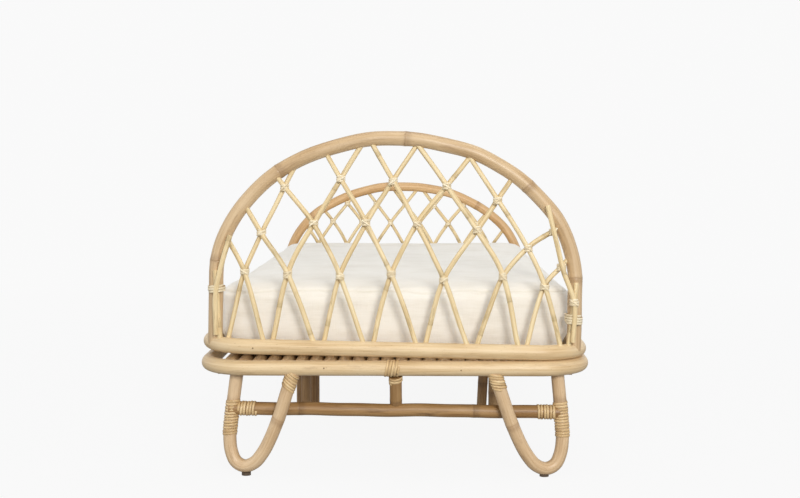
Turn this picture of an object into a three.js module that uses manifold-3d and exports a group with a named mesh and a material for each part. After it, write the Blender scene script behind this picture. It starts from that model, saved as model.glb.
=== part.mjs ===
// A doll's cane bed: two bent-pole rails one above the other, an arched and latticed end at each
// end of the upper rail, hairpin corner legs, and a loose mattress on a deck of lengthwise slats.
// Millimetres. X runs across the bed, Y along it with the tall end at -Y, Z up from the floor.
import * as THREE from "three";
import { mergeVertices } from "three/addons/utils/BufferGeometryUtils.js";
import Module from "manifold-3d";

const bedLength = 574;
const bedWidth = 305;
const poleRadius = 5.9; // of the two rails
const railCornerRadius = 36; // to the middle of the pole
const lowerRailHeight = 85.5;
const railSpacing = 14.3; // between the middles of the two rails
const upperRailInset = 1.7; // the upper rail is this much narrower on each side
const upperFrameLean = 1.1; // degrees that the hand-bent upper frame leans to the right
const jointGap = 0.3;

const tallHoop = { halfWidth: 138.5, spring: 50, rise: 110.6, radius: 5.6 };
const lowHoop = { halfWidth: 136.5, spring: 17, rise: 96.1, radius: 5.1 };
const hoopSetback = 15; // of each hoop, behind the middle of the end rail
const footSetback = 2; // of the lattice where it meets the rail, with what the rail's corners add
const cornerSetback = 4;

const rodRadius = 1.9;
const layerOffset = rodRadius + 0.2; // the two layers of rods lie this far either side of the lattice
const rodPairSplit = 2.3; // half the distance between the two feet of a pair
const lowRodPitch = 34;

const legRadius = 5.1;
const footDrop = { left: 0, right: 1.3 }; // of the bottom of each leg, below its route
const footSwing = { left: 0, right: 1.7 }; // of the bottom of each leg, to the right of its route
const outerArmLean = 2.3; // of the outer arms of the legs, over their full height
const stretcher = { radius: 5.1, height: 50.6, setback: 14, halfDrop: 1.2, halfLength: 128 };
const post = { radius: 4.7, offset: 1.5, clearance: 2.2 }; // clearance is below the slats
const glide = { radius: 3.6, height: 2.4 };
const bearer = { radius: 5, height: 74.7 };
const midLeg = { radius: 5, offset: 91, spread: 6.5, top: 79.5, foot: 0.3, splay: 4 };

const slat = { radius: 5.2, height: 85.5, count: 24, pitch: 11.1, endClearance: 0.5 };
const batten = { radius: 3.6, height: 78.3, length: 280, places: [-244, -82, 82, 244] };
const mattress = { width: 273, length: 520, base: 91.5, top: 145.9, corner: 18, edge: 7 };

const endY = bedLength / 2 - poleRadius; // middle of the end rails
const lowerHalfWidth = bedWidth / 2 - poleRadius;
const upperHalfWidth = lowerHalfWidth - upperRailInset;
const upperRailHeight = lowerRailHeight + railSpacing;

// The knots of the tall lattice, as [x, height above the upper rail], tied by eye and so uneven.
// Each row starts at the left-hand hoop, and knot i of a row lies between rods i - 1 and i below.
const tallFeet = [-131, -96, -57, -19, 21, 60, 98, 131];
const outerRodEnd = [-126.7, 84.3]; // where the outermost left rod stops, on the face of the hoop
const outerFoot = { x: 136.5, height: 8 }; // the outermost rod at each side starts on the hoop's face
const tallKnots = [
  [[-137, 43], [-115, 57], [-82, 56], [-42, 55], [-3, 58], [37, 54], [82, 57], [114, 50], [137, 38]],
  [[-128, 79], [-103, 87], [-63, 95], [-23, 96], [16, 96], [62, 92], [101, 79], [127, 65]],
  [null, [-86, 122], [-43, 129], [-3, 128], [38, 125], [77, 115], [120, 92]],
];
const lowRowHeights = [42, 70, 92];

// One corner leg from the rail down to the floor and back up, as [across, behind the rail, height].
const legRoute = [
  [75, 0, 88], [82, 1, 66], [88, 3, 47.5], [96, 5.5, 28], [101.5, 7, 18], [108, 9, 10.2], [116, 11, 7],
  [123, 12.5, 10], [127, 13.5, 18], [128.5, 14, 29.5], [127.5, 14.5, 46], [124, 14.6, 79.5],
];

const wasm = await Module();
wasm.setup();

const colours = {
  rail: 0xe9cda0,
  hoop: 0xd6b68c,
  rod: 0xebd7a5,
  leg: 0xdfc08f,
  slat: 0xd9bd8d,
  fabric: 0xece8de,
  rubber: 0x2b2724,
};

const bed = new THREE.Group();
const upperFrame = new THREE.Group();
upperFrame.position.z = upperRailHeight;
upperFrame.rotation.y = THREE.MathUtils.degToRad(upperFrameLean);
bed.add(upperFrame);

// A path that is swept exactly at its own stations, so straight stretches need none between.
class StationPath extends THREE.Curve {
  constructor(stations) {
    super();
    this.stations = stations;
  }

  getPointAt(u) {
    return this.stations[Math.round(u * (this.stations.length - 1))].clone();
  }

  getTangentAt(u) {
    const last = this.stations.length - 1;
    const index = Math.round(u * last);
    const ahead = this.stations[Math.min(index + 1, last)];
    const behind = this.stations[Math.max(index - 1, 0)];
    return ahead.clone().sub(behind).normalize();
  }
}

function disc(radius, sides) {
  const shape = new THREE.Shape();
  for (let side = 0; side < sides; side += 1) {
    const angle = (2 * Math.PI * (side + 0.5)) / sides;
    const x = radius * Math.cos(angle);
    const y = radius * Math.sin(angle);
    if (side === 0) shape.moveTo(x, y);
    else shape.lineTo(x, y);
  }
  shape.closePath();
  return shape;
}

function sweep(stations, radius, sides) {
  const extrudePath = new StationPath(stations);
  const steps = stations.length - 1;
  return new THREE.ExtrudeGeometry(disc(radius, sides), { steps, extrudePath, bevelEnabled: false });
}

function toSolid(geometry) {
  const bare = geometry.clone();
  bare.deleteAttribute("normal");
  bare.deleteAttribute("uv");
  const merged = mergeVertices(bare, 1e-4);
  const vertProperties = Float32Array.from(merged.attributes.position.array);
  const triVerts = Uint32Array.from(merged.index.array);
  return new wasm.Manifold(new wasm.Mesh({ numProp: 3, vertProperties, triVerts }));
}

function toGeometry(solid) {
  const { vertProperties, triVerts } = solid.getMesh();
  const geometry = new THREE.BufferGeometry();
  geometry.setAttribute("position", new THREE.BufferAttribute(vertProperties, 3));
  geometry.setIndex(new THREE.BufferAttribute(triVerts, 1));
  geometry.computeVertexNormals();
  return geometry;
}

// The piece with its neighbours cut away, without the stub beyond the far side of a neighbour.
function cope(geometry, neighbours) {
  let solid = toSolid(geometry);
  for (const neighbour of neighbours) solid = solid.subtract(neighbour);
  const pieces = solid.decompose();
  pieces.sort((a, b) => b.volume() - a.volume());
  return toGeometry(pieces[0]);
}

function addPiece(parent, name, geometry, color, roughness) {
  const material = new THREE.MeshStandardMaterial({ color, roughness, metalness: 0 });
  const mesh = new THREE.Mesh(geometry, material);
  mesh.name = name;
  parent.add(mesh);
  return mesh;
}

// Half of a rounded-rectangle rail, from the middle of one long side to the middle of the other.
function halfRail(halfWidth, end, overlap) {
  const stations = [new THREE.Vector3(-halfWidth, -overlap * end, 0)];
  const cornerSteps = 8;
  for (const side of [-1, 1]) {
    for (let step = 0; step <= cornerSteps; step += 1) {
      const turn = (Math.PI / 2) * (step / cornerSteps);
      const angle = side < 0 ? turn : Math.PI / 2 - turn;
      const x = side * (halfWidth - railCornerRadius + railCornerRadius * Math.cos(angle));
      const y = end * (endY - railCornerRadius + railCornerRadius * Math.sin(angle));
      stations.push(new THREE.Vector3(x, y, 0));
    }
  }
  stations.push(new THREE.Vector3(halfWidth, -overlap * end, 0));
  return stations;
}

function railSolid(halfWidth, radius) {
  const front = toSolid(sweep(halfRail(halfWidth, -1, 1), radius, 12));
  const back = toSolid(sweep(halfRail(halfWidth, 1, 1), radius, 12));
  return front.add(back);
}

// The middle line of a hoop in its own plane: straight feet, then half an ellipse.
function hoopStations(hoop, y) {
  const arcSteps = 26;
  const stations = [new THREE.Vector3(-hoop.halfWidth, y, 0)];
  for (let step = 0; step <= arcSteps; step += 1) {
    const angle = Math.PI * (1 - step / arcSteps);
    const x = hoop.halfWidth * Math.cos(angle);
    const z = hoop.spring + hoop.rise * Math.sin(angle);
    stations.push(new THREE.Vector3(x, y, z));
  }
  stations.push(new THREE.Vector3(hoop.halfWidth, y, 0));
  return stations;
}

function isInsideHoop(hoop, x, height) {
  const rise = Math.max(height - hoop.spring, 0) / hoop.rise;
  return (x / hoop.halfWidth) ** 2 + rise ** 2 < 1;
}

// Carries a rod's route on to the middle line of the hoop, and drops what lies beyond it.
function endAtHoop(route, hoop) {
  const kept = [route[0]];
  for (let index = 1; index < route.length; index += 1) {
    if (!isInsideHoop(hoop, ...route[index])) break;
    kept.push(route[index]);
  }
  const last = kept.length - 1;
  const from = kept[last];
  const aim = route[kept.length] ?? [2 * from[0] - route[last - 1][0], 2 * from[1] - route[last - 1][1]];
  const step = 0.01;
  let end = from;
  for (let reach = step; isInsideHoop(hoop, ...end) && reach < 3; reach += step) {
    end = [from[0] + reach * (aim[0] - from[0]), from[1] + reach * (aim[1] - from[1])];
  }
  return [...kept, end];
}

// The lattice starts over the end rail, follows the start of the rail's corners, and bows back
// into the plane of the hoop as it comes up to it. The outer rods stay in front of the hoop.
function latticeY(hoop, end, x, height, outer) {
  const pastCorner = Math.max(Math.abs(x) - (upperHalfWidth - railCornerRadius), 0);
  const corner = Math.min(railCornerRadius - Math.sqrt(railCornerRadius ** 2 - pastCorner ** 2), cornerSetback);
  const foot = footSetback + corner;
  const across = outer ? 0 : Math.min(Math.abs(x) / hoop.halfWidth, 1);
  const hoopHeight = hoop.spring + hoop.rise * Math.sqrt(1 - across ** 2);
  const rise = Math.min(height / hoopHeight, 1) ** 2;
  return end * (endY - foot - (hoopSetback - foot) * rise);
}

function rodGeometry({ route, layer, outer, free }, hoop, end) {
  const trimmed = free ? route : endAtHoop(route, hoop);
  const points = trimmed.map(([x, height]) => {
    const y = latticeY(hoop, end, x, height, outer) - end * layer * layerOffset;
    return new THREE.Vector3(x, y, height);
  });
  const curve = new THREE.CatmullRomCurve3(points);
  return sweep(curve.getSpacedPoints(9), rodRadius, 6);
}

function buildRails() {
  const lower = railSolid(lowerHalfWidth, poleRadius);
  const upper = railSolid(upperHalfWidth, poleRadius);
  addPiece(bed, "lower_rail", toGeometry(lower), colours.rail, 0.5).position.z = lowerRailHeight;
  addPiece(upperFrame, "upper_rail", toGeometry(upper), colours.rail, 0.5);
}

function buildEnd(name, hoop, end, rods) {
  const upperClearance = railSolid(upperHalfWidth, poleRadius + jointGap);
  const stations = hoopStations(hoop, end * (endY - hoopSetback));
  const hoopGeometry = cope(sweep(stations, hoop.radius, 12), [upperClearance]);
  const hoopClearance = toSolid(sweep(stations, hoop.radius + jointGap, 12));
  addPiece(upperFrame, `${name}_hoop`, hoopGeometry, colours.hoop, 0.5);
  for (const rod of rods) {
    const swept = rodGeometry(rod, hoop, end);
    const geometry = cope(swept, [upperClearance, hoopClearance]);
    addPiece(upperFrame, `${name}_rod_${rod.name}`, geometry, colours.rod, 0.55);
  }
}

// A rod leaning right passes knot i + 1 of every row above foot i, and one leaning left knot i - row.
function tallRoute(foot, start, lean) {
  const route = [start];
  for (const [row, knots] of tallKnots.entries()) {
    const knot = knots[lean > 0 ? foot + 1 : foot - row];
    if (!knot) break;
    route.push(knot);
  }
  return route;
}

function tallRods() {
  const rods = [];
  const last = tallFeet.length - 1;
  const outerRight = [...tallRoute(-1, [-outerFoot.x, outerFoot.height], 1), outerRodEnd];
  rods.push({ name: "right_0", layer: -1, route: outerRight, outer: true, free: true });
  for (const [foot, x] of tallFeet.entries()) {
    const right = tallRoute(foot, [x + rodPairSplit, 0], 1);
    const left = tallRoute(foot, [x - rodPairSplit, 0], -1);
    rods.push({ name: `right_${foot + 1}`, layer: 1, route: right, outer: foot === last });
    rods.push({ name: `left_${foot + 1}`, layer: foot ? -1 : 1, route: left, outer: foot === 0 });
  }
  const outerLeft = tallRoute(last + 1, [outerFoot.x, outerFoot.height], -1);
  rods.push({ name: `left_${last + 2}`, layer: -1, route: outerLeft, outer: true });
  return rods;
}

function lowRods() {
  const rods = [];
  for (let foot = 0; foot < 8; foot += 1) {
    const x = (foot - 3.5) * lowRodPitch;
    for (const lean of [-1, 1]) {
      const climb = lowRowHeights.map((height, row) => [x + (lean * (row + 1) * lowRodPitch) / 2, height]);
      const side = lean > 0 ? "right" : "left";
      const route = [[x + lean * rodPairSplit, 0], ...climb];
      rods.push({ name: `${side}_${foot + 1}`, layer: lean, route });
    }
  }
  return rods;
}

// Both outer arms of an end lean to the same side as the upper frame.
function legStations(side, end) {
  const drop = side < 0 ? footDrop.left : footDrop.right;
  const swing = side < 0 ? footSwing.left : footSwing.right;
  const lowest = legRoute.findIndex(([, , z]) => z === Math.min(...legRoute.map((point) => point[2])));
  const points = legRoute.map(([x, setback, z], index) => {
    const share = z / lowerRailHeight;
    const lean = index > lowest ? outerArmLean * share : 0;
    const across = side * x + lean + swing * (1 - share);
    return new THREE.Vector3(across, end * (endY - setback), z - drop * (1 - share));
  });
  return new THREE.CatmullRomCurve3(points).getSpacedPoints(26);
}

function buildUnderframe() {
  const railClearance = railSolid(lowerHalfWidth, poleRadius + jointGap).translate([0, 0, lowerRailHeight]);
  for (const end of [-1, 1]) {
    const endName = end < 0 ? "tall" : "low";
    const legClearances = [];
    for (const side of [-1, 1]) {
      const sideName = side < 0 ? "left" : "right";
      const stations = legStations(side, end);
      const leg = cope(sweep(stations, legRadius, 12), [railClearance]);
      const clearance = toSolid(sweep(stations, legRadius + jointGap, 12));
      legClearances.push(clearance);
      addPiece(bed, `${endName}_leg_${sideName}`, leg, colours.leg, 0.5);
      addPiece(bed, `${endName}_glide_${sideName}`, glideGeometry(stations, clearance), colours.rubber, 0.7);
    }
    buildStretcher(endName, end, railClearance, legClearances);
  }
}

function glideGeometry(legPath, legClearance) {
  const lowest = legPath.reduce((a, b) => (b.z < a.z ? b : a));
  const disk = new THREE.CylinderGeometry(glide.radius, glide.radius, glide.height, 16);
  disk.rotateX(Math.PI / 2);
  disk.translate(lowest.x, lowest.y, glide.height / 2);
  return cope(disk, [legClearance]);
}

function straightPole(from, to, radius, steps = 1) {
  const start = new THREE.Vector3(...from);
  const finish = new THREE.Vector3(...to);
  return sweep(new THREE.LineCurve3(start, finish).getSpacedPoints(steps), radius, 12);
}

function buildStretcher(endName, end, railClearance, legClearances) {
  const y = end * (endY - stretcher.setback);
  const from = [-stretcher.halfLength, y, stretcher.height + stretcher.halfDrop];
  const to = [stretcher.halfLength, y, stretcher.height - stretcher.halfDrop];
  const bar = cope(straightPole(from, to, stretcher.radius), legClearances);
  addPiece(bed, `${endName}_stretcher`, bar, colours.leg, 0.5);
  const barClearance = toSolid(straightPole(from, to, stretcher.radius + jointGap));
  const postTop = [post.offset, end * (endY - 3), slat.height - slat.radius - post.clearance];
  const postFoot = [post.offset, y, stretcher.height];
  const upright = cope(straightPole(postTop, postFoot, post.radius), [railClearance, barClearance]);
  addPiece(bed, `${endName}_post`, upright, colours.leg, 0.5);
}

function buildMiddleSupport() {
  const railClearance = railSolid(lowerHalfWidth, poleRadius + jointGap).translate([0, 0, lowerRailHeight]);
  const from = [-lowerHalfWidth, 0, bearer.height];
  const to = [lowerHalfWidth, 0, bearer.height];
  const cross = cope(straightPole(from, to, bearer.radius), [railClearance]);
  addPiece(bed, "mid_bearer", cross, colours.leg, 0.55);
  const besideBearer = bearer.radius + midLeg.radius + jointGap;
  for (const side of [-1, 1]) {
    const sideName = side < 0 ? "left" : "right";
    const poles = [
      { name: "near", x: 0, y: -besideBearer, lean: 0 },
      { name: "outer", x: midLeg.spread, y: besideBearer, lean: 0 },
      { name: "inner", x: -midLeg.spread, y: besideBearer, lean: side > 0 ? -midLeg.splay : 0 },
    ];
    for (const { name, x, y, lean } of poles) {
      const top = [side * (midLeg.offset + x), y, midLeg.top];
      const foot = [side * (midLeg.offset + x + lean), y, midLeg.foot];
      const upright = straightPole(top, foot, midLeg.radius);
      addPiece(bed, `mid_leg_${sideName}_${name}`, upright, colours.leg, 0.55);
    }
  }
}

// How far a slat reaches from the middle of the bed before it meets the rail or its corner.
function slatReach(x) {
  const pastCorner = Math.max(Math.abs(x) + slat.radius - (lowerHalfWidth - railCornerRadius), 0);
  const clear = railCornerRadius - poleRadius - slat.endClearance;
  return endY - railCornerRadius + Math.sqrt(clear ** 2 - pastCorner ** 2);
}

// Whole-cane slats along the bed, level with the lower rail, held together by thin battens below.
function buildDeck() {
  const bars = batten.places.map((y) => {
    const from = [-batten.length / 2, y, batten.height];
    const to = [batten.length / 2, y, batten.height];
    return toSolid(straightPole(from, to, batten.radius));
  });
  for (let index = 0; index < slat.count; index += 1) {
    const x = (index - (slat.count - 1) / 2) * slat.pitch;
    const reach = slatReach(x);
    const start = new THREE.Vector3(x, -reach, slat.height);
    const finish = new THREE.Vector3(x, reach, slat.height);
    bars.push(toSolid(sweep([start, finish], slat.radius, 8)));
  }
  const deck = bars.reduce((joined, bar) => joined.add(bar));
  addPiece(bed, "slat_deck", toGeometry(deck), colours.slat, 0.6);
}

function buildMattress() {
  const { width, length, base, top, corner, edge } = mattress;
  const halfWidth = width / 2 - edge;
  const halfLength = length / 2 - edge;
  const radius = corner - edge;
  const outline = new THREE.Shape();
  outline.absarc(halfWidth - radius, halfLength - radius, radius, 0, Math.PI / 2);
  outline.absarc(radius - halfWidth, halfLength - radius, radius, Math.PI / 2, Math.PI);
  outline.absarc(radius - halfWidth, radius - halfLength, radius, Math.PI, 1.5 * Math.PI);
  outline.absarc(halfWidth - radius, radius - halfLength, radius, 1.5 * Math.PI, 2 * Math.PI);
  const depth = top - base - 2 * edge;
  const bevel = { bevelEnabled: true, bevelThickness: edge, bevelSize: edge, bevelSegments: 3 };
  const geometry = new THREE.ExtrudeGeometry(outline, { depth, curveSegments: 6, ...bevel });
  addPiece(bed, "mattress", geometry, colours.fabric, 0.9).position.z = base + edge;
}

buildRails();
buildEnd("tall", tallHoop, -1, tallRods());
buildEnd("low", lowHoop, 1, lowRods());
buildUnderframe();
buildMiddleSupport();
buildDeck();
buildMattress();

export default bed;
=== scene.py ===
import math

import bmesh
import bpy
import numpy as np
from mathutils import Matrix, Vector, noise


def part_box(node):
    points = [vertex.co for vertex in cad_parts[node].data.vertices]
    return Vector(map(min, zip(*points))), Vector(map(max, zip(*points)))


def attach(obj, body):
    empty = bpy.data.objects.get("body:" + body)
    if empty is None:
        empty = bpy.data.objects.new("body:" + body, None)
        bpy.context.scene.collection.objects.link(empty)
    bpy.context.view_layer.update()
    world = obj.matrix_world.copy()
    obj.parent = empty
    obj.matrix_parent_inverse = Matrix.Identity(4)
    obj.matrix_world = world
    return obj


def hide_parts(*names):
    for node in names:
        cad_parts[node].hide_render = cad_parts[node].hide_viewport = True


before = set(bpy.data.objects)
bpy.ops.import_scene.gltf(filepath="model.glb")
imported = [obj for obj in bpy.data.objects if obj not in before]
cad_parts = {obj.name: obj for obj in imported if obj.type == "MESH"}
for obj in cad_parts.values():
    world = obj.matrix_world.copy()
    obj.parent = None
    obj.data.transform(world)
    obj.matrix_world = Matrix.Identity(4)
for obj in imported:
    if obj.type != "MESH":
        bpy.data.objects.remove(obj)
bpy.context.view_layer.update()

mm = 0.001
fineStep = 2 * mm  # between the points of a pole's path
print("frame loaded:", len(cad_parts), "nodes")


# camera, lights and floor

view = dict(
    place=(0.0215, -1.2661, 0.2441),
    down=3.916,  # degrees below level
    left=0.967,  # degrees to the left of +Y
    lens=58.65,
)
studio = dict(
    # the sky's brightness, from straight down to straight up
    sky=[(0.0, 0.26), (0.44, 0.26), (0.47, 0.95), (0.66, 0.95), (0.82, 0.45), (1.0, 0.4)],
    floor=0.93,
    floorGlow=0.96,  # how much of the floor's white is its own, so that shadows on it stay faint
    floorEdge=(0.4, 1.4),  # the lit floor turns into the bright sweep between these distances
    key=dict(place=(0.45, -2.2, 0.8), size=0.6, power=24.5, colour=(1.0, 0.985, 0.965)),
    fill=dict(place=(-1.7, -0.9, 0.8), size=1.4, power=3, colour=(0.97, 0.985, 1.0)),
    back=dict(place=(0.5, 1.7, 1.3), size=1.4, power=2, colour=(1.0, 1.0, 1.0)),
    top=dict(place=(0.1, -0.2, 1.9), size=1.2, power=7, colour=(1.0, 1.0, 1.0)),
)


def makeCamera():
    data = bpy.data.cameras.new("camera")
    data.lens = view["lens"]
    data.sensor_width = 36
    data.clip_start = 0.05
    camera = bpy.data.objects.new("camera", data)
    camera.location = view["place"]
    camera.rotation_euler = (math.radians(90 - view["down"]), 0, math.radians(view["left"]))
    bpy.context.scene.collection.objects.link(camera)
    bpy.context.scene.camera = camera


def makeLight(name, light, target=(0, 0, 0.12)):
    data = bpy.data.lights.new(name, "AREA")
    data.shape = "DISK"
    data.size = light["size"]
    data.energy = light["power"]
    data.color = light["colour"]
    lamp = bpy.data.objects.new(name, data)
    lamp.location = light["place"]
    aim = Vector(target) - Vector(light["place"])
    lamp.rotation_euler = aim.to_track_quat("-Z", "Y").to_euler()
    bpy.context.scene.collection.objects.link(lamp)


# node trees

class Wire:
    # a socket that can stand in a sum, and that starts any other node of its tree

    def __init__(self, tree, socket=None):
        self.tree = tree
        self.socket = socket

    def node(self, kind, settings=None, inputs=None, out=0):
        made = self.tree.nodes.new(kind)
        for name, value in (settings or {}).items():
            if name == "stops":
                setStops(made.color_ramp, value)
            elif name == "capture":
                made.capture_items.new(*value)
            else:
                setattr(made, name, value)
        for key, value in (inputs or {}).items():
            if isinstance(value, Wire):
                self.tree.links.new(value.socket, made.inputs[key])
            else:
                made.inputs[key].default_value = value
        return Wire(self.tree, made.outputs[out]) if made.outputs else None

    def also(self, out):
        return Wire(self.tree, self.socket.node.outputs[out])

    def math(self, operation, *values):
        return self.node("ShaderNodeMath", {"operation": operation}, dict(enumerate(values)))

    def __add__(self, other):
        return self.math("ADD", self, other)

    def __sub__(self, other):
        return self.math("SUBTRACT", self, other)

    def __rsub__(self, other):
        return self.math("SUBTRACT", other, self)

    def __mul__(self, other):
        return self.math("MULTIPLY", self, other)

    def __truediv__(self, other):
        return self.math("DIVIDE", self, other)

    __radd__ = __add__
    __rmul__ = __mul__

    def through(self, operation):  # a sum of one value
        return self.math(operation, self)

    def stretch(self, low, high, newLow=0.0, newHigh=1.0):
        return self.node("ShaderNodeMapRange", None, {0: self, 1: low, 2: high, 3: newLow, 4: newHigh})

    def bell(self, width):  # 1 at 0, falling away on both sides
        share = self / width
        return (share * share * -1.0).through("EXPONENT")

    def scaled(self, x, y, z):
        return self.node("ShaderNodeVectorMath", {"operation": "MULTIPLY"}, {0: self, 1: (x, y, z)})

    def shifted(self, other):
        return self.node("ShaderNodeVectorMath", {"operation": "ADD"}, {0: self, 1: other})

    def noise(self, detail=2.0, roughness=0.5):
        return self.node("ShaderNodeTexNoise", None, {"Vector": self, "Scale": 1.0, "Detail": detail,
                                                      "Roughness": roughness})

    def mixed(self, a, b, mode="MIX"):  # this socket is the factor
        return self.node("ShaderNodeMix", {"data_type": "RGBA", "blend_type": mode},
                         {0: self, 6: a, 7: b}, out=2)


def setStops(ramp, stops):
    while len(ramp.elements) > 1:
        ramp.elements.remove(ramp.elements[-1])
    ramp.elements[0].position, ramp.elements[0].color = stops[0]
    for position, colour in stops[1:]:
        ramp.elements.new(position).color = colour


def tint(red, green, blue):
    linear = [((c / 255 + 0.055) / 1.055) ** 2.4 if c > 10 else c / 255 / 12.92 for c in (red, green, blue)]
    return (*linear, 1.0)


def newFinish(name):
    material = bpy.data.materials.new(name)
    material.use_nodes = True
    material.node_tree.nodes.clear()
    return material, Wire(material.node_tree)


def closeFinish(start, colour, roughness, height, bump, distance, **constants):
    normal = start.node("ShaderNodeBump", None, {"Strength": bump, "Distance": distance, "Height": height})
    inputs = {"Base Color": colour, "Roughness": roughness, "Normal": normal}
    inputs.update({name.replace("_", " "): value for name, value in constants.items()})
    shader = start.node("ShaderNodeBsdfPrincipled", None, inputs)
    start.node("ShaderNodeOutputMaterial", None, {"Surface": shader})


# finishes

railLook = dict(pale=(232, 209, 170), mid=(219, 191, 147), deep=(194, 160, 113), stain=(146, 106, 66),
                stainAmount=0.3, knuckle=(160, 122, 84), gloss=0.42)
hoopLook = dict(pale=(216, 189, 150), mid=(202, 172, 131), deep=(178, 145, 104), stain=(134, 100, 66),
                stainAmount=0.4, knuckle=(140, 106, 74), gloss=0.4)
backHoopLook = dict(pale=(216, 181, 134), mid=(202, 162, 112), deep=(178, 136, 88), stain=(130, 92, 54),
                    stainAmount=0.35, knuckle=(130, 94, 60), gloss=0.42)
rodLook = dict(pale=(240, 222, 180), mid=(226, 202, 154), deep=(196, 168, 116), stain=(146, 132, 88),
               stainAmount=0.6, knuckle=(150, 124, 84), gloss=0.45)
legLook = dict(pale=(224, 197, 160), mid=(209, 178, 138), deep=(182, 148, 108), stain=(138, 102, 66),
               stainAmount=0.4, knuckle=(172, 136, 98), gloss=0.42)
# the stretchers, posts and middle supports are the same cane as the legs, coloured much darker as painted
# shade under the bed
shadedBarLook = dict(pale=(180, 144, 98), mid=(158, 120, 74), deep=(124, 88, 50), stain=(98, 64, 34),
               stainAmount=0.5, knuckle=(104, 74, 46), gloss=0.45)
slatLook = dict(pale=(204, 174, 130), mid=(184, 150, 108), deep=(150, 116, 78), stain=(110, 80, 50),
                stainAmount=0.5, knuckle=(120, 90, 58), gloss=0.55)
peelLook = dict(pale=(248, 238, 212), mid=(238, 222, 188), deep=(206, 182, 138), stain=(166, 138, 98),
                stainAmount=0.35, gloss=0.38)
bindingLook = dict(pale=(234, 208, 162), mid=(214, 182, 132), deep=(172, 136, 90), stain=(126, 92, 56),
                   stainAmount=0.55, gloss=0.36)


def caneFinish(name, look):
    # long fibres along the pole, blotches where the skin was scraped, and a dark ring at each knuckle
    material, start = newFinish(name)
    space = start.node("ShaderNodeAttribute", {"attribute_name": "caneSpace"}, out="Vector")
    seed = start.node("ShaderNodeAttribute", {"attribute_name": "poleSeed"}, out="Fac")
    knuckle = start.node("ShaderNodeAttribute", {"attribute_name": "knuckle"}, out="Fac")
    away = start.node("ShaderNodeCombineXYZ", None, {0: seed * 3.7, 1: seed * 1.9, 2: seed * 2.3})
    place = space.shifted(away)
    fibre = place.scaled(17, 640, 640).noise(3.0, 0.6)
    fine = place.scaled(60, 2300, 2300).noise(2.0, 0.6)
    broad = place.scaled(24, 90, 90).noise(2.0)
    blotch = place.scaled(38, 240, 240).noise(4.0, 0.62)
    speck = place.scaled(420, 1300, 1300).noise(1.0)
    tone = (fibre * 0.55 + fine * 0.2 + broad * 0.45).stretch(0.38, 0.82)
    colour = tone.node("ShaderNodeValToRGB", {"stops": [
        (0.0, tint(*look["deep"])), (0.42, tint(*look["mid"])), (0.9, tint(*look["pale"]))]}, {0: tone})
    stain = blotch.stretch(0.56, 0.74) * look["stainAmount"]
    colour = stain.mixed(colour, tint(*look["stain"]), "MULTIPLY")
    pits = speck.stretch(0.66, 0.78) * 0.3
    colour = pits.mixed(colour, tint(*look["stain"]))
    wander = (knuckle + (broad - 0.5) * 0.0035)
    ring = wander.bell(0.0007) * fibre.stretch(0.35, 0.65, 0.1, 0.55)
    collar = (wander - 0.002).bell(0.0028) * 0.3
    colour = collar.mixed(colour, tint(*look["stain"]), "MULTIPLY")
    colour = ring.mixed(colour, tint(*look["knuckle"]))
    roughness = fibre.stretch(0.3, 0.75, look["gloss"] - 0.06, look["gloss"] + 0.14)
    height = fibre * 0.5 + fine * 0.35 - wander.bell(0.0006) * 0.9 - pits
    closeFinish(start, colour, roughness, height, 0.35, 0.0004, Coat_Weight=0.12, Coat_Roughness=0.3)
    return material


def peelFinish(name, look):
    # split cane skin: pale, glossy, with fine lengthwise lines
    material, start = newFinish(name)
    space = start.node("ShaderNodeAttribute", {"attribute_name": "caneSpace"}, out="Vector")
    seed = start.node("ShaderNodeAttribute", {"attribute_name": "poleSeed"}, out="Fac")
    away = start.node("ShaderNodeCombineXYZ", None, {0: seed * 3.7, 1: seed * 1.9, 2: seed * 2.3})
    place = space.shifted(away)
    line = place.scaled(45, 1500, 1500).noise(3.0, 0.6)
    broad = place.scaled(50, 60, 60).noise(2.0)
    tone = (line * 0.6 + broad * 0.55).stretch(0.4, 0.78)
    colour = tone.node("ShaderNodeValToRGB", {"stops": [
        (0.0, tint(*look["deep"])), (0.45, tint(*look["mid"])), (0.9, tint(*look["pale"]))]}, {0: tone})
    stain = place.scaled(90, 300, 300).noise(3.0, 0.6).stretch(0.58, 0.75) * look["stainAmount"]
    colour = stain.mixed(colour, tint(*look["stain"]), "MULTIPLY")
    roughness = line.stretch(0.3, 0.7, look["gloss"], look["gloss"] + 0.15)
    closeFinish(start, colour, roughness, line, 0.3, 0.0002, Coat_Weight=0.15, Coat_Roughness=0.25)
    return material


# shade: the low stop of the tone, reached by random clouds and by the painted shade in the creases and along
# the seam
cottonLook = dict(pale=(246, 243, 236), mid=(242, 238, 229), shade=(233, 228, 217), thread=0.0006,
                  seam=141 * mm)


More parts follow.
